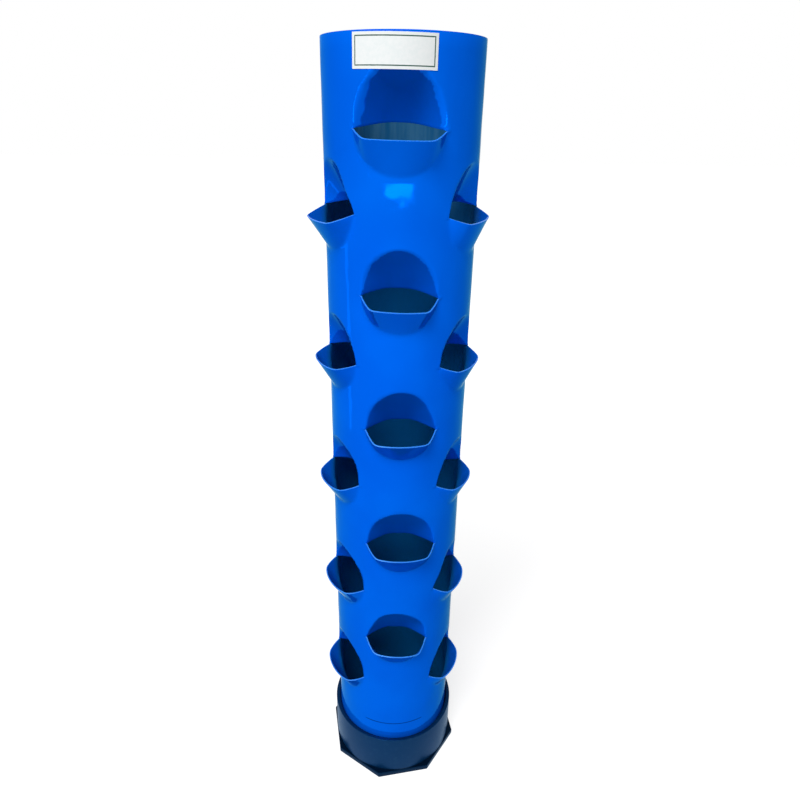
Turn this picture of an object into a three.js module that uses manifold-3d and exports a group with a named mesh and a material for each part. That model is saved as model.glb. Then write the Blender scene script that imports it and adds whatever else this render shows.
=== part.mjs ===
// Vertical planter tower: a drain pipe with planting pockets formed in its wall, standing in
// an end cap. Millimetres, +Z up. The origin is on the floor under the middle of the pipe,
// whose front faces -Y. An angle is measured from the front towards +X.

import * as THREE from 'three';
import Module from 'manifold-3d';
import { mergeVertices } from 'three/addons/utils/BufferGeometryUtils.js';

const wasm = await Module();
wasm.setup();

// Pipe
const PIPE_RADIUS = 80;
const PIPE_WALL = 3.4;
const PIPE_LENGTH = 941;

// Columns of pockets. The one at the front has a neighbour on each side, half a pitch lower,
// and the back is plain wall.
const COLUMN_PLACES = 6; // evenly round the pipe
const POCKET_COLUMNS = 3; // side by side, the middle one at the front
const SLIT_PITCH = 154.5;
const RIM_BAND = 30.3; // plain wall between the pipe's rim and the highest dent
const FOOT_BAND = 20; // least plain wall between the cap and the lowest pocket

// One pocket: the wall above its slit is pushed in, and the wall below is pulled out
const DENT_DEPTH = 24.5;
const DENT_HEIGHT = 48;
const DENT_RISE = 5.7; // how far the slit's upper edge rises when it is pushed in
const LIP_REACH = 16.4;
const FAR_LIP_REACH = 22; // the highest lip of the left column, pulled out further than the rest
const LIP_HEIGHT = 40;
const LIP_DROP = 7.9; // how far the slit's lower edge sinks when it is pulled out

// End cap
const SOCKET_CLEARANCE = 0.8; // between the pipe and the collar, all round
const COLLAR_WALL = 6.2;
const COLLAR_HEIGHT = 71.7;
const CAP_FLOOR = 8;
const LEAD_IN = 1.5; // chamfer inside the collar's rim
const FOOT_SIDES = 8;
const FOOT_THICKNESS = 8;
const FOOT_LEDGE = 0.3; // how far the foot's flats stand out of the collar
const FOOT_TURN_DEGREES = -12.7; // angle of the foot's first corner
const SEAT_GAP = 0.3; // between touching pieces

// Label
const LABEL_WIDTH = 78;
const LABEL_HEIGHT = 28.7;
const LABEL_THICKNESS = 0.4;
const LABEL_OFFSET = -9.8; // along the pipe's wall, from the front to the label's middle
const LABEL_DROP = 1.5; // below the pipe's rim

// A pocket is built on upright lines, from its middle to its corner. Each entry of these
// tables is one line. The third line runs through the lip's shoulder, and the last one
// through the slit's corner, where the pocket's neighbour begins.
const line_angle_shares = [0, 0.3, 0.6, 1];
const dent_depth_shares = [1, 0.95, 0.66, 0];
const dent_height_shares = [1, 0.95, 0.72, 0];
const dent_rise_shares = [1, 0.95, 0.6, 0];
const lip_reach_shares = [1, 0.97, 0.89, 0];
const lip_height_shares = [1, 0.95, 0.78, 0];
const lip_drop_shares = [1, 0.97, 0.88, 0];

// Counts of facets
const DENT_STEPS = 3;
const LIP_STEPS = 2;
const CORNER_LINE_STEPS = 3;
const COLLAR_FACETS = 72;
const LABEL_FACETS = 16;

const half_column = Math.PI / COLUMN_PLACES;
const left_column = COLUMN_PLACES - 1;
const corner_line = line_angle_shares.length - 1;
const collar_inner = PIPE_RADIUS + SOCKET_CLEARANCE;
const collar_outer = collar_inner + COLLAR_WALL;
const pipe_foot = CAP_FLOOR + SEAT_GAP;

// Heights of one column's slits above the pipe's foot, the lowest first. A slit that would
// bring its lip too near the cap is left out, and a place at the back has none.
function slitHeights(column) {
  const from_front = Math.min(column, COLUMN_PLACES - column);
  if (2 * from_front > POCKET_COLUMNS) {
    return [];
  }
  const first = PIPE_LENGTH - RIM_BAND - DENT_HEIGHT - (from_front % 2) * SLIT_PITCH / 2;
  const lowest = COLLAR_HEIGHT - pipe_foot + FOOT_BAND + LIP_HEIGHT;
  const heights = [];
  for (let height = first; height >= lowest; height -= SLIT_PITCH) {
    heights.unshift(height);
  }
  return heights;
}

// The points of the pipe's outer face, each with its height above the pipe's foot
class WallPoints {
  constructor() {
    this.places = [];
  }

  add(angle, height, radius) {
    return this.places.push({ angle, height, radius }) - 1;
  }

  height(number) {
    return this.places[number].height;
  }

  // Corner coordinates of the outer face, then of the inner face in the same order
  coordinates() {
    const face = (inset) => this.places.flatMap(({ angle, height, radius }) => {
      const inside = radius - inset;
      return [inside * Math.sin(angle), -inside * Math.cos(angle), height];
    });
    return [...face(0), ...face(PIPE_WALL)];
  }
}

// An upright line through a pocket column, as stretches of points from slit to slit
function pocketLine(wall, column, line, side) {
  const angle = half_column * (2 * column + side * line_angle_shares[line]);
  const slits = slitHeights(column);
  const stretches = [[wall.add(angle, 0, PIPE_RADIUS)]];
  for (const slit of slits) {
    const reach = column === left_column && slit === slits.at(-1) ? FAR_LIP_REACH : LIP_REACH;
    const lip = stretches.at(-1);
    for (let step = 0; step <= LIP_STEPS; step += 1) {
      const rise = step / LIP_STEPS;
      const below = THREE.MathUtils.lerp(
        LIP_HEIGHT * lip_height_shares[line],
        LIP_DROP * lip_drop_shares[line],
        rise,
      );
      lip.push(wall.add(angle, slit - below, PIPE_RADIUS + reach * lip_reach_shares[line] * rise));
    }
    const dent = [];
    for (let step = 0; step <= DENT_STEPS; step += 1) {
      const rise = step / DENT_STEPS;
      const above = THREE.MathUtils.lerp(
        DENT_RISE * dent_rise_shares[line],
        DENT_HEIGHT * dent_height_shares[line],
        rise,
      );
      const depth = DENT_DEPTH * dent_depth_shares[line] * (1 - rise);
      dent.push(wall.add(angle, slit + above, PIPE_RADIUS - depth));
    }
    stretches.push(dent);
  }
  stretches.at(-1).push(wall.add(angle, PIPE_LENGTH, PIPE_RADIUS));
  return stretches;
}

// The plain line between a column and the next one, where the slits of both have corners
function cornerLine(wall, column) {
  const angle = half_column * (2 * column + 1);
  const next = (column + 1) % COLUMN_PLACES;
  const corners = [column, next].flatMap((owner) => slitHeights(owner).map((height) => ({ height, owner })));
  corners.sort((a, b) => a.height - b.height);
  const ends = [{ height: 0 }, ...corners, { height: PIPE_LENGTH }];
  const points = [];
  ends.forEach((end, place) => {
    const start = place === 0 ? end : ends[place - 1];
    const steps = place === 0 ? 1 : CORNER_LINE_STEPS;
    for (let step = 1; step <= steps; step += 1) {
      const height = THREE.MathUtils.lerp(start.height, end.height, step / steps);
      const owner = step === steps ? end.owner : undefined;
      points.push({ number: wall.add(angle, height, PIPE_RADIUS), owner });
    }
  });
  return points;
}

// A corner line as stretches between the slits of one of its two columns
function stretchesFor(corner_points, column) {
  const stretches = [[]];
  for (const { number, owner } of corner_points) {
    stretches.at(-1).push(number);
    if (owner === column) {
      stretches.push([number]);
    }
  }
  return stretches;
}

// Triangles between two stretches side by side, the left one first as seen from outside
function zip(wall, left, right) {
  const triangles = [];
  let i = 0;
  let j = 0;
  while (i < left.length - 1 || j < right.length - 1) {
    const left_done = i === left.length - 1;
    const right_done = j === right.length - 1;
    if (right_done || (!left_done && wall.height(left[i + 1]) <= wall.height(right[j + 1]))) {
      triangles.push([left[i], right[j], left[i + 1]]);
      i += 1;
    } else {
      triangles.push([left[i], right[j], right[j + 1]]);
      j += 1;
    }
  }
  return triangles;
}

// The pipe's wall as one closed skin: outer face, inner face, and the cut edges between them
function formedPipe() {
  const wall = new WallPoints();
  const corner_lines = Array.from({ length: COLUMN_PLACES }, (_, column) => cornerLine(wall, column));
  const strips = [];
  for (let column = 0; column < COLUMN_PLACES; column += 1) {
    const left_corner = stretchesFor(corner_lines[(column + COLUMN_PLACES - 1) % COLUMN_PLACES], column);
    const right_corner = stretchesFor(corner_lines[column], column);
    const lines = [left_corner];
    for (let place = 1 - corner_line; place < corner_line; place += 1) {
      lines.push(pocketLine(wall, column, Math.abs(place), Math.sign(place)));
    }
    lines.push(right_corner);
    for (let place = 1; place < lines.length; place += 1) {
      lines[place].forEach((right, stretch) => strips.push([lines[place - 1][stretch], right]));
    }
  }
  const inner = wall.places.length;
  const index = [];
  for (const [left, right] of strips) {
    for (const [a, b, c] of zip(wall, left, right)) {
      index.push(a, b, c, inner + a, inner + c, inner + b);
    }
    const [low_left, low_right] = [left[0], right[0]];
    index.push(low_right, low_left, inner + low_left, low_right, inner + low_left, inner + low_right);
    const [high_left, high_right] = [left.at(-1), right.at(-1)];
    index.push(high_left, high_right, inner + high_right, high_left, inner + high_right, inner + high_left);
  }
  const geometry = new THREE.BufferGeometry();
  geometry.setAttribute('position', new THREE.Float32BufferAttribute(wall.coordinates(), 3));
  geometry.setIndex(index);
  geometry.computeVertexNormals();
  return geometry;
}

// A closed geometry as a solid that can be joined to another
function asSolid(geometry) {
  const bare = geometry.clone();
  bare.deleteAttribute('normal');
  bare.deleteAttribute('uv');
  const merged = mergeVertices(bare);
  return new wasm.Manifold(new wasm.Mesh({
    numProp: merged.attributes.position.itemSize,
    vertProperties: new Float32Array(merged.attributes.position.array),
    triVerts: new Uint32Array(merged.index.array),
  }));
}

// A joined solid back as a geometry
function asGeometry(solid) {
  const mesh = solid.getMesh();
  const geometry = new THREE.BufferGeometry();
  geometry.setAttribute('position', new THREE.Float32BufferAttribute(mesh.vertProperties, mesh.numProp));
  geometry.setIndex(Array.from(mesh.triVerts));
  geometry.computeVertexNormals();
  return geometry;
}

// The cap's round collar with its floor, turned about the axis
function collar() {
  const profile = [
    [0, 0],
    [collar_outer, 0],
    [collar_outer, COLLAR_HEIGHT],
    [collar_inner + LEAD_IN, COLLAR_HEIGHT],
    [collar_inner, COLLAR_HEIGHT - LEAD_IN],
    [collar_inner, CAP_FLOOR],
    [0, CAP_FLOOR],
  ].map(([radius, height]) => new THREE.Vector2(radius, height));
  return new THREE.LatheGeometry(profile, COLLAR_FACETS).rotateX(Math.PI / 2);
}

// The cap's foot, a regular prism whose flats stand just outside the collar
function foot() {
  const corner_radius = (collar_outer + FOOT_LEDGE) / Math.cos(Math.PI / FOOT_SIDES);
  const corners = Array.from({ length: FOOT_SIDES }, (_, corner) => {
    const angle = THREE.MathUtils.degToRad(FOOT_TURN_DEGREES) + 2 * Math.PI * corner / FOOT_SIDES;
    return new THREE.Vector2(corner_radius * Math.sin(angle), -corner_radius * Math.cos(angle));
  });
  return new THREE.ExtrudeGeometry(new THREE.Shape(corners), { depth: FOOT_THICKNESS, bevelEnabled: false });
}

function endCap() {
  return asGeometry(asSolid(collar()).add(asSolid(foot())));
}

// The label, a thin plate bent round the pipe, with its foot at height zero
function bentLabel() {
  const inner = PIPE_RADIUS + SEAT_GAP;
  const outer = inner + LABEL_THICKNESS;
  const middle = LABEL_OFFSET / PIPE_RADIUS - Math.PI / 2;
  const half_angle = LABEL_WIDTH / 2 / PIPE_RADIUS;
  const outline = new THREE.Shape();
  outline.absarc(0, 0, outer, middle - half_angle, middle + half_angle, false);
  outline.absarc(0, 0, inner, middle + half_angle, middle - half_angle, true);
  return new THREE.ExtrudeGeometry(outline, {
    depth: LABEL_HEIGHT,
    bevelEnabled: false,
    curveSegments: LABEL_FACETS,
  });
}

// Materials
const pipe_plastic = new THREE.MeshStandardMaterial({ color: 0x0a5fe0, roughness: 0.22, metalness: 0 });
const cap_plastic = new THREE.MeshStandardMaterial({ color: 0x1c3c5c, roughness: 0.4, metalness: 0 });
const label_film = new THREE.MeshStandardMaterial({ color: 0xf2f6f4, roughness: 0.45, metalness: 0 });

const tower_tube = new THREE.Mesh(formedPipe(), pipe_plastic);
tower_tube.name = 'tower_tube';

const label = new THREE.Mesh(bentLabel(), label_film);
label.name = 'label';
label.position.z = PIPE_LENGTH - LABEL_DROP - LABEL_HEIGHT;

const base_cap = new THREE.Mesh(endCap(), cap_plastic);
base_cap.name = 'base_cap';

// The pipe and its label lift out of the cap together
const lifting = new THREE.Group();
lifting.position.z = pipe_foot;
lifting.add(tower_tube, label);

const planter_tower = new THREE.Group();
planter_tower.add(base_cap, lifting);

export default planter_tower;
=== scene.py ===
# %% [markdown]
# # A planter tower formed from one drain pipe
#
# The object is a length of glossy blue drain pipe that stands in a dark end cap. Fifteen
# planting pockets are formed in the pipe's own wall, in three columns: the pipe is slit
# across, the wall is warmed, the part above each slit is pressed in and the part below is
# pulled out. A plain white sticker sits under the rim at the front, and the back is bare.
#
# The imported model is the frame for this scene: its bodies, its nodes and its sizes are
# fixed, and everything here is made in metres in the same frame, with +Z up, the front
# facing -Y and the origin on the floor under the pipe.

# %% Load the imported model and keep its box
import math

import bmesh
import bpy
from mathutils import Matrix, Vector


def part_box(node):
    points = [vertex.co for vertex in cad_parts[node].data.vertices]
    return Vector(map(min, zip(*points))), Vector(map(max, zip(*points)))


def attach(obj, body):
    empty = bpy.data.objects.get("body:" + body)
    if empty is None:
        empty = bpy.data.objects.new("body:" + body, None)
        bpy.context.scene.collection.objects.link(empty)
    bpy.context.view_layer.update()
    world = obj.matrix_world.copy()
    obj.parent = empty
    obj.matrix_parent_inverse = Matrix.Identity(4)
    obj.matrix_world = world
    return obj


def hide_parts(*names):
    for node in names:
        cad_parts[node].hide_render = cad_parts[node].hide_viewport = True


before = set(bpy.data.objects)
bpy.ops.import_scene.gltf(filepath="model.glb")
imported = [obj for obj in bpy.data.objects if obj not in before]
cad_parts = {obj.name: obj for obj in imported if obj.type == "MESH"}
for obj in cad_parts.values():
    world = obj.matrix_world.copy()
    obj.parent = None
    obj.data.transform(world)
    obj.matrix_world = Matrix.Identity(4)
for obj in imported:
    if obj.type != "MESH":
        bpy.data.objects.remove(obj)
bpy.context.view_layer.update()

# %% [markdown]
# ## Camera
#
# The photograph was taken from just in front of the tower, a little below its rim, looking
# down at about 25 degrees. That is why the rim looks twice as wide as the foot. The place
# was found by fitting the rim, the slits and the foot of a 160 mm pipe to the picture. A
# camera could also be aimed with a Track To constraint, but a matrix built from the three
# directions keeps the slight roll that the photograph has.

# %% Camera where the photograph was taken
eye = Vector((-0.0145, -0.6846, 0.8875))
pitch, yaw, roll = 0.4365, 0.0252, -0.0177  # radians
focal_pixels, picture_pixels = 621.49, 800

sight = Vector((math.sin(yaw) * math.cos(pitch), math.cos(yaw) * math.cos(pitch),
                -math.sin(pitch)))
level = Vector((math.cos(yaw), -math.sin(yaw), 0))
upright = level.cross(sight)
rightward = level * math.cos(roll) - upright * math.sin(roll)
upward = level * math.sin(roll) + upright * math.cos(roll)


def link(obj):
    """The object, once it is in the scene."""
    bpy.context.scene.collection.objects.link(obj)
    return obj


camera = link(bpy.data.objects.new("camera", bpy.data.cameras.new("camera")))
camera.data.sensor_width = 36  # millimetres, as the lens is
camera.data.lens = camera.data.sensor_width * focal_pixels / picture_pixels
camera.data.clip_start, camera.data.clip_end = 0.01, 50
facing = Matrix((rightward, upward, -sight)).transposed().to_4x4()
camera.matrix_world = Matrix.Translation(eye) @ facing
bpy.context.scene.camera = camera
print("lens", round(camera.data.lens, 2), "mm, eye", tuple(eye))

# %% [markdown]
# ## Sums on wires
#
# A shape or a colour that follows a rule needs many Math nodes. Placing each one by hand
# hides the rule, so a wire here stands for one output of a node, and ordinary Python sums
# on wires add the Math nodes to the tree that they belong to. It works in Geometry Nodes
# and in materials alike.

# %% Wires and nodes
class Wire:
    """One output of a node, which can be reckoned with."""

    def __init__(self, socket):
        self.socket = socket

    def __add__(self, other):
        return reckon("ADD", self, other)

    __radd__ = __add__

    def __mul__(self, other):
        return reckon("MULTIPLY", self, other)

    __rmul__ = __mul__

    def __sub__(self, other):
        return reckon("SUBTRACT", self, other)

    def __rsub__(self, other):
        return reckon("SUBTRACT", other, self)

    def __neg__(self):
        return reckon("SUBTRACT", 0, self)

    def __truediv__(self, other):
        return reckon("DIVIDE", self, other)

    def __pow__(self, other):
        return reckon("POWER", self, other)

    def __abs__(self):
        return reckon("ABSOLUTE", self)


def plug(value, slot):
    """Feeds a node's input from a wire, or sets it to a plain value."""
    if isinstance(value, Wire):
        slot.id_data.links.new(value.socket, slot)
    else:
        slot.default_value = value


def reckon(operation, *values, clamp=False):
    """A Math node fed by wires and numbers."""
    tree = next(value.socket.id_data for value in values if isinstance(value, Wire))
    node = tree.nodes.new("ShaderNodeMath")
    node.operation = operation
    node.use_clamp = clamp
    for value, slot in zip(values, node.inputs):
        plug(value, slot)
    return Wire(node.outputs[0])


def add_node(tree, kind, inputs=None, **settings):
    """A node with its settings made and its inputs, given by name, plugged in."""
    node = tree.nodes.new(kind)
    for name, value in settings.items():
        setattr(node, name, value)
    for name, value in (inputs or {}).items():
        plug(value, next(slot for slot in node.inputs if slot.name == name and slot.enabled))
    return node


def output(node, name=None):
    """A node's first live output, or the one with that name, as a wire."""
    return Wire(next(slot for slot in node.outputs
                     if slot.enabled and name in (None, slot.name)))


# %% Sums that come up again and again
def larger(one, other):
    return reckon("MAXIMUM", one, other)


def smaller(one, other):
    return reckon("MINIMUM", one, other)


def held(value, low, high):
    """The value, kept between low and high."""
    return smaller(larger(value, low), high)


def between(value, low, high):
    """0 below low, 1 above high and a smooth step in between."""
    share = reckon("DIVIDE", value - low, high - low, clamp=True)
    return share * share * (3 - 2 * share)


def fading(value, low, high):
    """1 below low, 0 above high and a smooth step in between."""
    return 1 - between(value, low, high)


def axes(tree, vector):
    """The X, Y and Z of a vector."""
    node = add_node(tree, "ShaderNodeSeparateXYZ", {"Vector": vector})
    return [output(node, axis) for axis in "XYZ"]


def from_axis(x, y):
    """How far a place is from the upright axis."""
    return reckon("SQRT", x * x + y * y)


# %% [markdown]
# ## The blue plastic
#
# The pipe is rigid plastic, dyed through and drawn smooth, so it shines like a wet thing
# while its body colour stays a deep, clean blue. What it mirrors looks blue too: the white
# floor turns a clear blue in it, and the dark mouth of a pocket shows as a deep blue dome in
# the dent above. A colourless gloss coat would turn both pale and violet, so the shader has
# a share of metal, whose reflections take the body colour, and hardly any of the colourless
# kind. One roughness all over would look like a toy, so the colour drifts a little, fine
# streaks run along the pipe, as drawing leaves them, and a low bump carries the ripples.
# Low down at the front the pipe has a scored line, a slit that was marked and never cut.
# Its groove has no depth in the mesh, so its shade is painted into the colour as a dark line.

# %% Helpers for materials
def new_material(name):
    """An empty node material with a Principled shader, and its parts."""
    material = bpy.data.materials.new(name)
    material.use_nodes = True
    tree = material.node_tree
    shader = next(node for node in tree.nodes if node.type == "BSDF_PRINCIPLED")
    place = output(add_node(tree, "ShaderNodeTexCoord"), "Object")
    return material, tree, shader, place


def stretched(tree, place, scale):
    """The same place with each axis scaled, so that a pattern can run along one of them."""
    node = add_node(tree, "ShaderNodeMapping", {"Vector": place, "Scale": scale})
    return output(node)


def noise(tree, place, scale, detail=2.0, roughness=0.5):
    """Cloudy values about 0.5."""
    node = add_node(tree, "ShaderNodeTexNoise",
                    {"Vector": place, "Scale": scale, "Detail": detail, "Roughness": roughness})
    return output(node, "Fac")


def blended(tree, share, first, second):
    """A colour that goes from the first to the second as share goes from 0 to 1."""
    node = add_node(tree, "ShaderNodeMix", data_type="RGBA")
    plug(share, next(slot for slot in node.inputs if slot.name == "Factor" and slot.enabled))
    colours = [slot for slot in node.inputs if slot.enabled and slot.name in ("A", "B")]
    for slot, colour in zip(colours, (first, second)):
        plug(colour if isinstance(colour, Wire) else (*colour, 1), slot)
    return output(node)


def set_gloss(shader, tint, **sockets):
    """Sets the tint of what it mirrors, and other sockets that are the same all over."""
    shader.inputs["Specular Tint"].default_value = (*tint, 1)
    for name, value in sockets.items():
        shader.inputs[name].default_value = value


def add_bump(tree, shader, height, strength, distance):
    """Tilts the shader's normal by a height pattern."""
    node = add_node(tree, "ShaderNodeBump",
                    {"Height": height, "Strength": strength, "Distance": distance})
    plug(output(node), shader.inputs["Normal"])


# %% Blue outside of the pipe
pipe_blue = (0.0, 0.14, 0.88)
pipe_blue_deep = (0.0, 0.115, 0.80)
pipe_glint = (0.0, 0.95, 0.85)
polish, streak_dullness, scuff_dullness = 0.035, 0.03, 0.12  # parts of the roughness
score_shade_blue, score_shade_strength = (0.0, 0.035, 0.25), 0.85
score_height, score_edge = 0.0986, (0.0005, 0.0012)  # metres; the edge is from its middle
score_half_angle, score_fade = math.radians(31.5), 0.06

blue_plastic, tree, shader, place = new_material("pipe_blue_plastic")
drawn = stretched(tree, place, (1.0, 1.0, 0.06))
drift = noise(tree, place, 9, 2)
streaks = noise(tree, drawn, 420, 3, 0.6)
scuffs = between(noise(tree, place, 55, 4, 0.7), 0.60, 0.78)
plug(polish + streak_dullness * streaks + scuff_dullness * scuffs, shader.inputs["Roughness"])
set_gloss(shader, pipe_glint, Metallic=0.25, IOR=1.02)
x, y, z = axes(tree, place)
from_front = abs(reckon("ARCTAN2", x, -y))
# Painted shade: a thin dark line low on the front, in place of the shade inside the scored
# groove.
score = (fading(abs(z - score_height), *score_edge)
         * fading(from_front, score_half_angle - score_fade, score_half_angle))
ripple = noise(tree, stretched(tree, place, (1.0, 1.0, 0.6)), 26, 2, 0.4)
body = blended(tree, between(drift, 0.3, 0.7), pipe_blue, pipe_blue_deep)
plug(blended(tree, score_shade_strength * score, body, score_shade_blue), shader.inputs["Base Color"])
add_bump(tree, shader, ripple + 0.02 * streaks, 0.35, 0.004)
print("made", blue_plastic.name)

# %% [markdown]
# ## The pipe's inside and its cut edges
#
# Nobody polished the inside. It is duller and greyer than the outside, with dust and water
# marks near the open top and a cleaner, deeper blue further down, and the inner face of each
# lip still looks blue. The saw and the knife leave the cut edges paler. Painting a picture
# for this would fix it to one pipe. Here height and distance from the axis choose the
# colour, and the Geometry Nodes tree below hands out three materials on one mesh.

# %% Dull inside
inside_grey = (0.004, 0.085, 0.22)
inside_dust = (0.035, 0.140, 0.27)
inside_deep = (0.001, 0.125, 0.37)
inside_blue = (0.0, 0.10, 0.55)
inside_glint = (0.3, 0.7, 1.0)
clean_below, dusty_above = 0.70, 0.88  # heights in metres
wall_within, lip_beyond = 0.077, 0.086  # distances from the axis in metres

inner_plastic, tree, shader, place = new_material("pipe_inside")
marks = noise(tree, stretched(tree, place, (1.0, 1.0, 0.12)), 60, 4, 0.6)
x, y, z = axes(tree, place)
on_lip = between(from_axis(x, y), wall_within, lip_beyond)
dull = blended(tree, between(marks, 0.35, 0.7), inside_grey, inside_dust)
dull = blended(tree, between(z, clean_below, dusty_above), inside_deep, dull)
plug(blended(tree, on_lip, dull, inside_blue), shader.inputs["Base Color"])
plug(0.42 + 0.25 * marks, shader.inputs["Roughness"])
set_gloss(shader, inside_glint, IOR=1.3)
add_bump(tree, shader, marks, 0.2, 0.002)
print("made", inner_plastic.name)

# %% Pale cut edges
cut_blue = (0.05, 0.27, 0.62)

cut_plastic, tree, shader, place = new_material("pipe_cut_edge")
saw = noise(tree, stretched(tree, place, (1.0, 1.0, 3.0)), 300, 3, 0.6)
plug(blended(tree, saw, cut_blue, pipe_blue), shader.inputs["Base Color"])
plug(0.25 + 0.25 * saw, shader.inputs["Roughness"])
set_gloss(shader, inside_glint)
add_bump(tree, shader, saw, 0.3, 0.0005)
print("made", cut_plastic.name)

# %% [markdown]
# ## The formed pipe
#
# The whole pipe is one skin, and every pocket follows the same rule: its place in the
# column gives a slit, and the height above or below the slit gives how far the wall is
# pushed in or pulled out. A sculpted mesh would need fifteen pockets made alike by hand. A
# Geometry Nodes tree says the rule once. It unrolls the wall as a flat grid, slits it,
# works out the push for each point, rolls the grid up, and gives the skin its thickness.
# The sizes are named inputs, so another tower needs only other numbers.

# %% Sizes of the pipe, as the tree's named inputs
pipe_sizes = {
    "Radius": 0.080,
    "Length": 0.941,
    "Wall": 0.0034,
    "Foot Height": 0.0083,
    "First Slit": 0.0783,
    "Slit Pitch": 0.1545,
    "Column Angle": math.radians(60),
    "Front Half Angle": math.radians(30.3),
    "Side Half Angle": math.radians(27.0),
    "Dent Depth": 0.0245,
    "Slit Wall Share": 0.43,
    "Waviness": 0.0005,
    "Seed": 4,
}
slit_rows = 5
print(len(pipe_sizes), "sizes for 3 columns of", slit_rows, "pockets")

# %% A new tree with its inputs
tree = bpy.data.node_groups.new("formed_pipe", "GeometryNodeTree")
for name, value in pipe_sizes.items():
    kind = "NodeSocketInt" if isinstance(value, int) else "NodeSocketFloat"
    tree.interface.new_socket(name, in_out="INPUT", socket_type=kind)
for name in ("Outside", "Inside", "Cut Edge"):
    tree.interface.new_socket(name, in_out="INPUT", socket_type="NodeSocketMaterial")
tree.interface.new_socket("Geometry", in_out="OUTPUT", socket_type="NodeSocketGeometry")
group_input = tree.nodes.new("NodeGroupInput")
size = {name: output(group_input, name) for name in pipe_sizes}
print("tree with", len(tree.interface.items_tree), "sockets")

# %% [markdown]
# ### Unroll the wall
#
# The grid's lines have to fall exactly on the slits and on their corners, or the cut would
# be ragged. So the grid is counted in whole steps from the seam at the back: a few wide ones
# across the bare wall, many across a side pocket, one across the land beside it, many across
# the front pocket, and so on round, and likewise from slit to slit down the pipe. Ramps turn
# the steps into an angle and a distance down from the rim.

# %% Stretches of grid steps, each as a count of cells and the length that they cover
def across_pocket(half_angle):
    """Fine steps at both corners of the slit and wider ones between them."""
    corner, middle = (12, half_angle * 0.4), (16, half_angle * 1.2)
    return [corner, middle, corner]


def count_cells(stretches):
    """How many cells a row of stretches has."""
    return sum(cells for cells, length in stretches)


land = size["Column Angle"] - size["Side Half Angle"] - size["Front Half Angle"]
round_stretches = [(12, math.pi - size["Column Angle"] - size["Side Half Angle"])]
round_stretches += across_pocket(size["Side Half Angle"]) + [(1, land)]
round_stretches += across_pocket(size["Front Half Angle"]) + round_stretches[::-1]
top_stretches = [(cells, size["First Slit"] * share)
                 for cells, share in ((2, 0.32), (9, 0.22), (5, 0.38), (3, 0.08))]
half_pitch_stretches = [(3, 0.045), (5, 0.29), (7, 0.135), (4, 0.12), (5, 0.325), (3, 0.085)]
foot_cells = 6

around_cells, top_cells = count_cells(round_stretches), count_cells(top_stretches)
half_pitch_cells = count_cells(half_pitch_stretches)
slit_levels = 2 * slit_rows
down_cells = top_cells + slit_levels * half_pitch_cells + foot_cells
print("grid of", around_cells, "by", down_cells, "cells")

# %% The grid, with its steps turned into an angle and a distance down
def along(step, stretches, start=0):
    """How far a step has come, once each stretch has grown from 0 to its length."""
    far = 0.0
    for cells, length in stretches:
        far = far + reckon("DIVIDE", step - start, cells, clamp=True) * length
        start += cells
    return far


grid = add_node(tree, "GeometryNodeMeshGrid", {
    "Size X": around_cells, "Size Y": down_cells,
    "Vertices X": around_cells + 1, "Vertices Y": down_cells + 1})
flat_x, flat_y, flat_z = axes(tree, output(add_node(tree, "GeometryNodeInputPosition")))
step_round = flat_x + around_cells / 2
step_down = down_cells / 2 - flat_y

angle = along(step_round, round_stretches) - math.pi
step_below = step_down - top_cells
on_level = 0.001  # of a half pitch, so that a point on a level counts as below it
level = held(reckon("FLOOR", step_below / half_pitch_cells + on_level), 0, slit_levels - 1)
in_level = along(step_below - level * half_pitch_cells, half_pitch_stretches)
foot_length = size["Length"] - size["First Slit"] - size["Slit Pitch"] * slit_rows
down = (along(step_down, top_stretches) + (level + in_level) * size["Slit Pitch"] * 0.5
        + along(step_down, [(foot_cells, foot_length)], down_cells - foot_cells))

# %% Keep both on the grid, and a map of the unrolled wall
def stored(mesh, name, value, domain="POINT", data_type="FLOAT"):
    """The mesh with a named attribute."""
    return output(add_node(tree, "GeometryNodeStoreNamedAttribute",
                           {"Geometry": mesh, "Name": name, "Value": value},
                           domain=domain, data_type=data_type))


def named(name, data_type="FLOAT"):
    """A named attribute of the mesh."""
    return output(add_node(tree, "GeometryNodeInputNamedAttribute", {"Name": name},
                           data_type=data_type))


wall_map = output(add_node(tree, "ShaderNodeCombineXYZ", {"X": angle / (2 * math.pi), "Y": down}))
skin = stored(output(grid, "Mesh"), "angle", angle)
skin = stored(skin, "down", down)
skin = stored(skin, "wall_map", wall_map, "CORNER", "FLOAT2")
angle, down = named("angle"), named("down")
down_of_face = output(add_node(tree, "GeometryNodeFieldOnDomain", {"Value": down},
                               data_type="FLOAT", domain="FACE"))
print("unrolled wall takes", len(tree.nodes), "nodes")

# %% [markdown]
# ### Find each point's pocket
#
# The front column and the two beside it, half a pitch lower, are reckoned apart. The side
# ones are mirror images, so the size of the angle serves for both. For its column a point has
# a share across (-1 and 1 at the slit's corners), a height above the nearest slit, and the
# pocket's number, which seeds its small differences. A point on the slit belongs to the wall
# above or below it, and the faces round it say which.

# %% Place in the nearest pocket of a column
def pocket_place(from_middle, half_angle, first_slit, first_number, hand):
    """Where a point lies in the nearest pocket; hand is -1 where across runs to the left."""
    row = held(reckon("ROUND", (down - first_slit) / size["Slit Pitch"]), 0, slit_rows - 1)
    slit = first_slit + row * size["Slit Pitch"]
    return {
        "across": from_middle / half_angle,
        "height": slit - down,
        "above": reckon("GREATER_THAN", slit - down_of_face, 0),
        "number": row + first_number,
        "hand": hand,
    }


on_left = reckon("LESS_THAN", angle, 0)
front = pocket_place(angle, size["Front Half Angle"], size["First Slit"], 0, 1)
side = pocket_place(abs(angle) - size["Column Angle"], size["Side Half Angle"],
                    size["First Slit"] + size["Slit Pitch"] / 2,
                    (1 + on_left) * slit_rows, 1 - 2 * on_left)

# %% Cut the slits
corner_reach, level_reach = 1.001, 1e-5  # what still counts as on the slit


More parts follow.
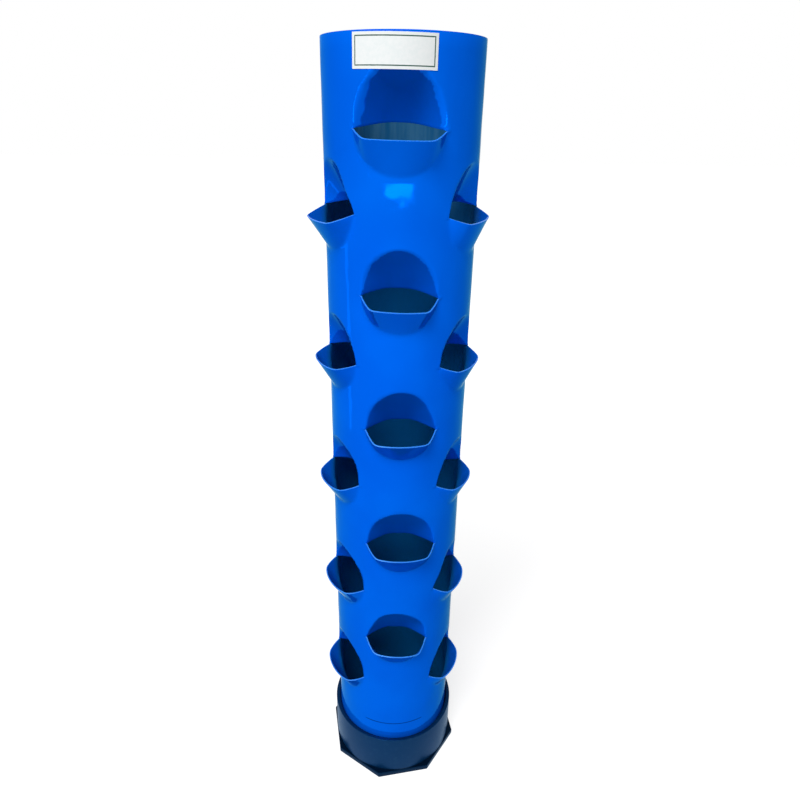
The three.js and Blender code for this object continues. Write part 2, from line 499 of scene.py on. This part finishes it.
def on_slit(pocket):
    """1 on the line of the slit, its corners included."""
    inside = reckon("LESS_THAN", abs(pocket["across"]), corner_reach)
    return inside * reckon("LESS_THAN", abs(pocket["height"]), level_reach)


slits = output(add_node(tree, "FunctionNodeCompare",
                        {"A": on_slit(front) + on_slit(side), "B": 0.5},
                        data_type="FLOAT", operation="GREATER_THAN"))
skin = output(add_node(tree, "GeometryNodeSplitEdges", {"Mesh": skin, "Selection": slits}))
print("slit wall takes", len(tree.nodes), "nodes")

# %% [markdown]
# ### The shape of one pocket
#
# Measured on the photograph, the dent is a slope with a round-topped outline: nearly
# straight down the middle, broad across, with a crease where it meets the wall. The lip is a
# flare with a nearly flat front between two shoulders; its side panels run back to the
# slit's corners and its creases draw together towards the bottom. The lips at the sides are
# rounder, like ears. Both forms are written as shares from 0 to 1, so the sizes stay
# separate from them. The slits were cut and the pockets formed by hand, so a short table
# gives each one's own place, reach, drop and length, and a fixed random number its skew.

# %% Share of the dent
dent_flatness, dent_falloff = 3, 1.1  # across the dent
dome_width, dome_spread = 0.88, 0.25  # of the slit's half, and more where the slope is curved
dome_squareness, dome_roundness, dome_floor = 2.1, 0.58, 0.02
overshoot, past_outline, past_corner = 1.5, 0.1, 2  # how the slope runs on beyond the dent
dent_crease = 0.045


def dent_share(across, height, dent_height, curve):
    """1 at the middle of the slit and 0 on the dent's outline."""
    near = abs(across)
    deep = larger(1 - near ** dent_flatness, 0) ** dent_falloff
    outline = 1 - (near / (dome_width + dome_spread * curve)) ** dome_squareness
    tall = larger(outline, dome_floor) ** dome_roundness
    up = smaller(larger(height, 0) / (dent_height * tall), overshoot)
    slope = deep * (1 - up + curve * up * (1 - up)) - past_outline * larger(up - 1, 0)
    return reckon("SMOOTH_MAX", slope - past_corner * larger(near - 1, 0), 0.0, dent_crease)


# %% Share of the lip
foot_squareness, foot_roundness, foot_floor = 2.3, 0.7, 0.001
foot_crease, shoulder_crease = 0.1, 0.3
front_bow = 0.04
panel_slope, ear_slope = 2.5, 0.4
panel_bend, ear_bend = 0.01, 0.05
ear_squareness, ear_roundness, ear_corner, ear_reach = 2.6, 0.8, 0.03, 1.05
ear_share = 0.6


def lip_share(across, height, lip_height, roundness):
    """1 at the middle of the lip's rim, 0 at the slit's corners and at the flare's foot."""
    near = abs(across)
    foot = larger(1 - near ** foot_squareness, foot_floor) ** foot_roundness * lip_height
    slope = reckon("SMOOTH_MAX", 1 - larger(-height, 0) / foot, 0.0, foot_crease)
    front_panel = 1 - front_bow * near * near
    from_corner = larger(1 - near, 0)
    side_panel = ((panel_slope + ear_slope * roundness) * from_corner * from_corner
                  / (from_corner + panel_bend + ear_bend * roundness))
    flared = reckon("SMOOTH_MIN", front_panel, side_panel, shoulder_crease)
    rounded = (larger(1 - near ** ear_squareness, 0) ** ear_roundness
               * from_corner / (from_corner + ear_corner) * ear_reach)
    rim = flared + (rounded - flared) * ear_share * roundness
    return larger(rim, 0) * slope


# %% [markdown]
# ### Fifteen pockets, no two alike
#
# The table below has a row for each way in which the pockets differ. A row starts with its
# unit, and then come the front, the right and the left column, each from the top down. An
# Index Switch node picks a pocket's own value by its number. Random numbers alone would
# also make the pockets differ, but not as these do.

# %% Each pocket's own values
millimetre, degree = 0.001, math.radians(1)
pocket_values = {
    # The slit: how far it sits to the right and up, how far its left end lies below its
    # right one, and how much longer it is at each end
    "slit turn": (degree, (-3, -1, 2, 4, 1), (2, 0, 2, 4, 4), (-3, -3, -2, 2, 1)),
    "slit rise": (millimetre, (0, -1, 2, -2, 0), (1, 0, 2, 1, 1), (2, 0, 3, 4, 5)),
    "slit tilt": (millimetre, (-1, -2, -1, -4, -3), (3, 3, 0, 1, 6), (-1, -1, -1, -5, -8)),
    "slit widening": (degree, (3, 0, 0, 2, 0), (1, 1, 1, 1, 1), (1, 1, 1, 1, 1)),
    # The lip: its reach outwards, its form from flat panels (0) to an ear (1), its drop at
    # the rim and its length down the wall
    "lip reach": (millimetre, (16, 16, 16, 16, 16), (14.7, 15, 15, 14.7, 15),
                  (20.2, 18.5, 18.8, 18.8, 18.5)),
    "lip roundness": (1, (0, 0, 0, 0.2, 0.2), (0.2, 0.6, 0.9, 1, 1), (0.1, 0.7, 0.9, 1, 1)),
    "lip drop": (millimetre, (8, 9.5, 9, 7, 9.5), (7, 6.5, 7, 9, 8), (9, 6, 7.5, 4, 6)),
    "lip length": (millimetre, (41, 37, 34, 35, 35), (40, 38, 38, 38, 38),
                   (40, 38, 38, 38, 38)),
    # The dent: its length up the wall, the curve of its slope, the rise of its edge at the
    # slit, and how much deeper than the rest it is
    "dent length": (millimetre, (56, 50, 50, 52, 50), (48, 48, 48, 48, 48),
                    (48, 48, 48, 48, 48)),
    "dent curve": (1, (0.43, 0.25, 0.25, 0.25, 0.25), (0.3, 0.3, 0.3, 0.3, 0.3),
                   (0.3, 0.3, 0.3, 0.3, 0.3)),
    "dent rise": (millimetre, (6, 6, 6, 6, 6), (8, 8, 6, 6, 9), (7, 8, 8, 8, 9)),
    "dent extra": (millimetre, (4.5, 0, 0, 0, 0), (0, 0, 0, 0, 0), (0, 0, 0, 0, 0)),
}


def listed(pocket, name):
    """The pocket's own value, in metres, radians or as a share."""
    unit, *columns = pocket_values[name]
    values = [value * unit for column in columns for value in column]
    node = add_node(tree, "GeometryNodeIndexSwitch", data_type="FLOAT")
    while len(node.index_switch_items) < len(values):
        node.index_switch_items.new()
    plug(pocket["number"], node.inputs["Index"])
    for place, value in enumerate(values):
        node.inputs[str(place)].default_value = value
    return output(node)


def picked(pocket, low, high, salt):
    """A fixed random number for each pocket."""
    return output(add_node(tree, "FunctionNodeRandomValue", {
        "Min": low, "Max": high, "ID": pocket["number"], "Seed": size["Seed"] + salt},
        data_type="FLOAT"))


print(len(pocket_values), "values for each pocket")

# %% Push, lift and turn of a point by one column of pockets
lip_skew, lip_salt = 0.04, 3
dent_depths, dent_salt = (0.94, 1.02), 5  # shares of the dent's depth
fold_place, fold_width, fold_height, fold_reach = 0.97, 0.06, 0.005, 0.0016
settled_across, settled_off = (1.0, 1.9), (0.050, 0.077)  # where a slit's own place fades out
thinned_across, thinned_off = (0.97, 1.12), (0.012, 0.040)  # where the wall is thick again


def formed(pocket):
    """A point's push outwards, lift and turn, and how far the wall is stretched thin."""
    across, height, above = pocket["across"], pocket["height"], pocket["above"]
    near, off_slit = abs(across), abs(height)
    dent = dent_share(across, height, listed(pocket, "dent length"),
                      listed(pocket, "dent curve")) * above
    lip = lip_share(across, height, listed(pocket, "lip length"),
                    listed(pocket, "lip roundness"))
    lip = lip * (1 + across * picked(pocket, -lip_skew, lip_skew, lip_salt)) * (1 - above)
    depth = (size["Dent Depth"] * picked(pocket, *dent_depths, dent_salt)
             + listed(pocket, "dent extra"))
    fold = reckon("EXPONENT",
                  -((near - fold_place) / fold_width) ** 2 - off_slit / fold_height) * above
    push = lip * listed(pocket, "lip reach") - dent * depth + fold * fold_reach
    settle = fading(near, *settled_across) * fading(off_slit, *settled_off)
    end = held(across, -1, 1) * pocket["hand"]
    lift = (dent * listed(pocket, "dent rise") - lip * listed(pocket, "lip drop")
            + settle * (listed(pocket, "slit rise") + end * listed(pocket, "slit tilt") * 0.5))
    turn = settle * (listed(pocket, "slit turn") + end * listed(pocket, "slit widening"))
    thin = fading(near, *thinned_across) * fading(off_slit, *thinned_off)
    return push, lift, turn, thin


push, lift, turn, thin = [a + b for a, b in zip(formed(front), formed(side))]
print("pocket rule has", len(tree.nodes), "nodes so far")

# %% [markdown]
# ### Roll it up, thicken it and hand out the materials
#
# The rolled skin is welded along its seam. A second copy, turned inside out and pushed
# inwards, gives the wall its thickness, thinner at the lips, where the plastic was
# stretched. Solidify could do that too, but the extrusion in the tree also says which faces
# are inside and which are cut edges.

# %% Roll up
wave_scale, wave_calming = 17.0, 0.8  # the waves are calmer where the wall is thin
seam_weld, rim_weld = 1e-5, 1e-6


def on_pipe(radius, angle, height):
    """A place at an angle from the front."""
    return output(add_node(tree, "ShaderNodeCombineXYZ", {
        "X": radius * reckon("SINE", angle), "Y": -(radius * reckon("COSINE", angle)),
        "Z": height}))


plain = on_pipe(size["Radius"], angle, size["Length"] - down)
wave = output(add_node(tree, "ShaderNodeTexNoise",
                       {"Vector": plain, "Scale": wave_scale, "Detail": 1.0}), "Fac")
radius = size["Radius"] + push + (wave - 0.5) * (1 - wave_calming * thin) * 2 * size["Waviness"]
rolled = on_pipe(radius, angle + turn, size["Foot Height"] + size["Length"] - down + lift)
skin = stored(skin, "thin", thin)
skin = output(add_node(tree, "GeometryNodeSetPosition", {"Geometry": skin, "Position": rolled}))
skin = output(add_node(tree, "GeometryNodeMergeByDistance",
                       {"Geometry": skin, "Distance": seam_weld}))

# %% Thicken and join
thickness = size["Wall"] * (1 - (1 - size["Slit Wall Share"]) * named("thin"))
lining = add_node(tree, "GeometryNodeExtrudeMesh", {
    "Mesh": output(add_node(tree, "GeometryNodeFlipFaces", {"Mesh": skin})),
    "Offset Scale": thickness, "Individual": False}, mode="FACES")
inner = stored(output(lining, "Mesh"), "is_inner", output(lining, "Top"), "FACE", "BOOLEAN")
inner = stored(inner, "is_cut", output(lining, "Side"), "FACE", "BOOLEAN")
join = tree.nodes.new("GeometryNodeJoinGeometry")
for mesh in (inner, skin):
    plug(mesh, join.inputs[0])
wall = output(add_node(tree, "GeometryNodeMergeByDistance",
                       {"Geometry": output(join), "Distance": rim_weld}))

# %% Smooth it, hand out the materials and end the tree
wall = output(add_node(tree, "GeometryNodeSetShadeSmooth",
                       {"Geometry": wall, "Shade Smooth": True}))
wall = output(add_node(tree, "GeometryNodeRealizeInstances", {"Geometry": wall}))
wall = output(add_node(tree, "GeometryNodeSetMaterial", {
    "Geometry": wall, "Material": output(group_input, "Outside")}))
for flag, name in (("is_inner", "Inside"), ("is_cut", "Cut Edge")):
    wall = output(add_node(tree, "GeometryNodeSetMaterial", {
        "Geometry": wall, "Selection": named(flag, "BOOLEAN"),
        "Material": output(group_input, name)}))
group_output = tree.nodes.new("NodeGroupOutput")
plug(wall, group_output.inputs["Geometry"])
print("formed pipe tree:", len(tree.nodes), "nodes")

# %% Turn the tree's result into a plain mesh
def baked(obj, name):
    """The object's evaluated shape as a plain mesh object, in place of it."""
    bpy.context.view_layer.update()
    evaluated = obj.evaluated_get(bpy.context.evaluated_depsgraph_get())
    shape = bpy.data.meshes.new_from_object(evaluated)
    shape.name = name
    bpy.data.objects.remove(obj)
    return link(bpy.data.objects.new(name, shape))


carrier = link(bpy.data.objects.new("pipe_carrier", bpy.data.meshes.new("pipe_carrier")))
modifier = carrier.modifiers.new("formed pipe", "NODES")
modifier.node_group = tree
inputs = {item.name: item.identifier for item in tree.interface.items_tree
          if item.in_out == "INPUT"}
values = {**pipe_sizes, "Outside": blue_plastic, "Inside": inner_plastic,
          "Cut Edge": cut_plastic}
for name, value in values.items():
    modifier[inputs[name]] = value
pipe = baked(carrier, "pipe_raw")
print("pipe:", len(pipe.data.vertices), "points,", len(pipe.data.polygons), "faces,",
      len(pipe.data.materials), "materials")

# %% Soften the rims
soften = pipe.modifiers.new("rims", "BEVEL")
soften.width, soften.segments, soften.limit_method = 0.00045, 2, "ANGLE"
soften.angle_limit = math.radians(62)
pipe = baked(pipe, "formed_pipe")
for name in ("angle", "down", "thin", "is_inner", "is_cut"):
    if name in pipe.data.attributes:
        pipe.data.attributes.remove(pipe.data.attributes[name])
print("softened:", len(pipe.data.polygons), "faces,",
      sum(len(face.vertices) - 2 for face in pipe.data.polygons), "triangles")
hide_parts("tower_tube")
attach(pipe, "tower")

# %% [markdown]
# ## The end cap
#
# The cap is one moulding: a round collar and an octagonal foot. Moulded edges are never
# sharp, so each has a small radius, and that is what catches the light. The collar could
# come from a Screw modifier on its profile; a short function that turns a rounded profile
# round the axis keeps the sizes in plain sight. The foot is a stack of octagon loops with
# rounded corners.

# %% Rounded profiles and loops
def rounded_corner(before, corner, after, radius, steps):
    """Points on an arc that takes the place of a corner."""
    corner, start, end = Vector(corner), Vector(before), Vector(after)
    to_start, to_end = (start - corner).normalized(), (end - corner).normalized()
    half = to_start.angle(to_end) / 2
    reach = radius / math.tan(half)
    centre = corner + (to_start + to_end).normalized() * (radius / math.sin(half))
    first, last = corner + to_start * reach - centre, corner + to_end * reach - centre
    points = []
    for i in range(steps + 1):
        blend = first.slerp(last, i / steps)
        points.append(centre + blend.normalized() * radius)
    return points


def rounded_path(points, radii, steps):
    """A path with each corner that has a radius rounded off."""
    path = []
    for i, (point, radius) in enumerate(zip(points, radii)):
        if radius and 0 < i < len(points) - 1:
            path += rounded_corner(points[i - 1], point, points[i + 1], radius, steps)
        else:
            path.append(Vector(point))
    return path


def evenly_round(count, start=0.0):
    """Angles evenly spaced round the axis."""
    return [start + 2 * math.pi * i / count for i in range(count)]


def turned(radius, angle):
    """The X and Y of a place at an angle from the front."""
    return radius * math.sin(angle), -radius * math.cos(angle)


def skin_between(mesh, loops):
    """Faces between closed loops of points, one after another."""
    rings = [[mesh.verts.new(point) for point in loop] for loop in loops]
    count = len(rings[0])
    for lower, upper in zip(rings, rings[1:]):
        for i in range(count):
            j = (i + 1) % count
            mesh.faces.new((lower[i], lower[j], upper[j], upper[i]))
    return rings


# %% Collar turned round the axis
cap_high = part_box("base_cap")[1]
collar_outer, collar_inner, collar_height, cap_floor = 0.0870, 0.0808, cap_high.z, 0.008
collar_draft, draft_low, draft_high = 0.0006, 0.002, 0.02
lead_in_width, lead_in_depth = 0.0012, 0.0022
collar_steps, collar_corner_steps = 192, 5

profile = rounded_path(
    [(collar_outer - collar_draft, draft_low), (collar_outer, draft_high),
     (collar_outer, collar_height), (collar_inner + lead_in_width, collar_height),
     (collar_inner, collar_height - lead_in_depth), (collar_inner, cap_floor)],
    [0, 0, 0.0011, 0.0007, 0.001, 0], collar_corner_steps)
collar_angles = evenly_round(collar_steps)
collar_loops = [[(*turned(r, a), h) for a in collar_angles] for r, h in profile]
cap_mesh = bmesh.new()
skin_between(cap_mesh, collar_loops)
print("collar:", len(cap_mesh.faces), "faces")

# %% Octagonal foot
foot_turn, foot_sides, foot_corner, foot_thickness = math.radians(-12.7), 8, 0.0945, 0.008
foot_corner_radius, foot_corner_steps = 0.0022, 4
foot_edge, foot_edge_steps = 0.0009, 4


def octagon(inset, height):
    """A loop round the foot, set in from its flats, with rounded corners."""
    across = foot_corner - inset / math.cos(math.pi / foot_sides)
    corners = [turned(across, a) for a in evenly_round(foot_sides, foot_turn)]
    loop = []
    for i, corner in enumerate(corners):
        loop += rounded_corner(corners[i - 1], corner, corners[(i + 1) % foot_sides],
                               foot_corner_radius, foot_corner_steps)
    return [(x, y, height) for x, y in loop]


edge_angles = [math.pi / 2 * i / foot_edge_steps for i in range(foot_edge_steps + 1)]
bend = [(foot_edge * (1 - math.sin(a)), foot_edge * (1 - math.cos(a))) for a in edge_angles]
foot_loops = [octagon(inset, low) for inset, low in bend]
foot_loops += [octagon(inset, foot_thickness - low) for inset, low in reversed(bend)]
rings = skin_between(cap_mesh, foot_loops)
cap_mesh.faces.new(list(reversed(rings[0])))
cap_mesh.faces.new(rings[-1])

# %% Collar and foot as one mesh
crisp_angle = math.radians(40)  # edges that turn further than this stay crisp

bmesh.ops.recalc_face_normals(cap_mesh, faces=cap_mesh.faces)
cap_data = bpy.data.meshes.new("moulded_cap")
cap_mesh.to_mesh(cap_data)
cap_mesh.free()
cap = link(bpy.data.objects.new("moulded_cap", cap_data))
cap_data.shade_smooth()
cap_data.set_sharp_from_angle(angle=crisp_angle)
print("cap:", len(cap_data.polygons), "faces")

# %% [markdown]
# ### Dark moulded plastic
#
# The cap is a dark blue-grey, lighter where the collar mirrors the pale floor. Shade is
# painted into its colour: the foot is darkened nearly to black, its top most, and the
# collar's faces that look up are darkened by half. Moulded plastic is less glossy than drawn
# pipe, it is faintly grained, and dust gathers on what faces up. A plain dark grey would do
# from afar, but near by the handling marks show, so a pattern in the roughness draws them.

# %% Cap material
cap_dark, cap_dusty, cap_painted_shade = (0.003, 0.036, 0.118), (0.02, 0.075, 0.17), (0.0, 0.003, 0.010)
cap_glint = (0.35, 0.7, 1.0)
# The painted shade on the foot is full below the first height and gone above the second.
shade_full_below, shade_gone_above = 0.009, 0.012  # heights in metres

cap_plastic, tree, shader, place = new_material("cap_dark_plastic")
up = axes(tree, output(add_node(tree, "ShaderNodeTexCoord"), "Normal"))[2]
height = axes(tree, place)[2]
on_foot = fading(height, shade_full_below, shade_gone_above)
# Painted shade, nearly black: on the foot all over, most on its top, and by half on the collar's
# upward faces.
painted_shade = (0.5 + 0.4 * on_foot) * larger(up, 0.7 * on_foot)
handling = noise(tree, place, 30, 4, 0.65)
dust = between(noise(tree, place, 140, 3, 0.7), 0.5, 0.72) * (0.2 + 0.15 * larger(up, 0))
body = blended(tree, dust, cap_dark, cap_dusty)
plug(blended(tree, painted_shade, body, cap_painted_shade), shader.inputs["Base Color"])
plug(0.24 + 0.18 * handling + 0.25 * dust, shader.inputs["Roughness"])
set_gloss(shader, cap_glint, Metallic=0.35, IOR=1.15)
add_bump(tree, shader, noise(tree, place, 900, 2), 0.12, 0.0004)
cap_data.materials.append(cap_plastic)
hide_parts("base_cap")
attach(cap, "base")
print("made", cap_plastic.name)

# %% [markdown]
# ## The sticker
#
# The sticker is thin film that wraps the pipe under its rim. It is bare, apart from the
# thin dark line round its border. The line could be a second mesh, but printed ink has no
# thickness, so it is drawn in the material from a map of the sticker in millimetres. The
# film is very slightly crooked, as a hand puts it on.

# %% Bent film
label_low, label_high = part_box("label")
sticker_width, sticker_height, sticker_turn = 0.0776, 0.0282, math.radians(0.45)
sticker_offset, sticker_radius = -0.0098, 0.0803
sticker_middle = (label_low.z + label_high.z) / 2
steps_wide, steps_high = 48, 12
map_scale = 1000  # map units in a metre
film_thickness = 0.00018

sticker_mesh = bmesh.new()
sticker_map = sticker_mesh.loops.layers.uv.new("sticker_map")
flat_points = {}
rows = []
for j in range(steps_high + 1):
    row = []
    for i in range(steps_wide + 1):
        s, t = (i / steps_wide - 0.5) * sticker_width, (j / steps_high - 0.5) * sticker_height
        s_turned = s * math.cos(sticker_turn) + t * math.sin(sticker_turn)
        t_turned = t * math.cos(sticker_turn) - s * math.sin(sticker_turn)
        a = (sticker_offset + s_turned) / pipe_sizes["Radius"]
        vert = sticker_mesh.verts.new((*turned(sticker_radius, a), sticker_middle + t_turned))
        flat_points[vert] = (s * map_scale, t * map_scale)
        row.append(vert)
    rows.append(row)
for lower, upper in zip(rows, rows[1:]):
    for i in range(steps_wide):
        face = sticker_mesh.faces.new((lower[i], lower[i + 1], upper[i + 1], upper[i]))
        for corner in face.loops:
            corner[sticker_map].uv = flat_points[corner.vert]
film_data = bpy.data.meshes.new("sticker_film")
sticker_mesh.to_mesh(film_data)
sticker_mesh.free()
film_data.shade_smooth()
film = link(bpy.data.objects.new("sticker_film", film_data))
thicken = film.modifiers.new("film", "SOLIDIFY")
thicken.thickness, thicken.offset = film_thickness, 1
film = baked(film, "sticker")
film.data.set_sharp_from_angle(angle=crisp_angle)
print("sticker:", len(film.data.polygons), "faces")

# %% Sticker material
paper_white, paper_grey = (0.90, 0.93, 0.93), (0.85, 0.90, 0.90)
ink_green = (0.012, 0.075, 0.055)
border_inset, ink_within, bare_beyond = 2.9, 0.40, 0.60  # millimetres

film_material, tree, shader, place = new_material("sticker_film")
map_x, map_y, map_z = axes(tree, output(add_node(tree, "ShaderNodeUVMap", uv_map="sticker_map")))
from_side = sticker_width * map_scale / 2 - abs(map_x)
from_top = sticker_height * map_scale / 2 - abs(map_y)
line = fading(abs(smaller(from_side, from_top) - border_inset), ink_within, bare_beyond)
fibres = noise(tree, place, 260, 3, 0.6)
ground = blended(tree, between(fibres, 0.3, 0.7), paper_white, paper_grey)
plug(blended(tree, line, ground, ink_green), shader.inputs["Base Color"])
plug(0.30 + 0.15 * fibres, shader.inputs["Roughness"])
add_bump(tree, shader, noise(tree, place, 38, 2), 0.1, 0.001)
film.data.materials.append(film_material)
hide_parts("label")
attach(film, "tower")
print("made", film_material.name)

# %% [markdown]
# ## Floor, world and lamps
#
# The photograph's background is plain white. The floor is pale and takes the tower's soft
# shadow; for what the camera or a mirror sees, a Light Path switch fills the floor and the
# sky up to white, so no extra light falls on the tower. Stronger lamps would whiten the
# floor as well, but they would bleach the blue. The light is what a bright room gives: a
# large soft lamp high in front and to the left, an even sky, and two weak narrow lamps that
# the glossy wall mirrors as a thin streak on its left and a bright patch under the first lip.

# %% Floor
floor_reach, floor_grey = 12, 0.42
fill_near, fill_from, fill_to = 0.76, 0.3, 1.6  # the fill is full beyond the last, in metres


def only_seen(tree):
    """1 for rays from the camera, for mirror rays and for rays through glass."""
    path = add_node(tree, "ShaderNodeLightPath")
    mirrored = larger(output(path, "Is Glossy Ray"), output(path, "Is Transmission Ray"))
    return larger(output(path, "Is Camera Ray"), mirrored)


floor_data = bpy.data.meshes.new("floor")
floor_corners = [(x * floor_reach, y * floor_reach, 0)
                 for x, y in ((-1, -1), (1, -1), (1, 1), (-1, 1))]
floor_data.from_pydata(floor_corners, [], [(0, 1, 2, 3)])
floor = link(bpy.data.objects.new("floor", floor_data))
floor_material = bpy.data.materials.new("pale_floor")
floor_material.use_nodes = True
tree = floor_material.node_tree
tree.nodes.clear()
diffuse = add_node(tree, "ShaderNodeBsdfDiffuse", {"Color": (floor_grey,) * 3 + (1,)})
x, y, z = axes(tree, output(add_node(tree, "ShaderNodeTexCoord"), "Object"))
far = between(from_axis(x, y), fill_from, fill_to)
fill = only_seen(tree) * (fill_near + (1 - fill_near) * far)
glow = add_node(tree, "ShaderNodeEmission", {"Color": (1, 1, 1, 1), "Strength": fill})
both = add_node(tree, "ShaderNodeAddShader")
tree.links.new(diffuse.outputs[0], both.inputs[0])
tree.links.new(glow.outputs[0], both.inputs[1])
ends = add_node(tree, "ShaderNodeOutputMaterial")
tree.links.new(both.outputs[0], ends.inputs["Surface"])
floor_data.materials.append(floor_material)
print("made", floor.name)

# %% World and lamps
sky_light = 0.16
world = bpy.data.worlds.new("room")
bpy.context.scene.world = world
world.use_nodes = True
tree = world.node_tree
background = next(node for node in tree.nodes if node.type == "BACKGROUND")
background.inputs["Color"].default_value = (1, 1, 1, 1)
plug(sky_light + (1 - sky_light) * only_seen(tree), background.inputs["Strength"])


def area_lamp(name, place, target, width, height, watts):
    """A rectangular lamp at a place, turned to a target."""
    lamp = bpy.data.lights.new(name, "AREA")
    lamp.shape, lamp.size, lamp.size_y, lamp.energy = "RECTANGLE", width, height, watts
    obj = link(bpy.data.objects.new(name, lamp))
    obj.location = place
    obj.rotation_euler = (Vector(target) - Vector(place)).to_track_quat("-Z", "Y").to_euler()
    print(name, "of", watts, "watts")


area_lamp("key_lamp", place=(-1.15, -2.63, 4.5), target=(0, 0, 0.5),
          width=2.4, height=1.8, watts=246)
area_lamp("side_lamp", place=(-0.81, -0.07, 0.40), target=(0, -0.05, 0.45),
          width=0.08, height=0.5, watts=0.15)
area_lamp("front_strip", place=(-0.42, -1.2, 0.705), target=(-0.42, 0, 0.705),
          width=1.75, height=0.045, watts=1.35)
bpy.context.scene.view_settings.view_transform = "Standard"

# %% Bring the scene up to date
bpy.context.view_layer.update()
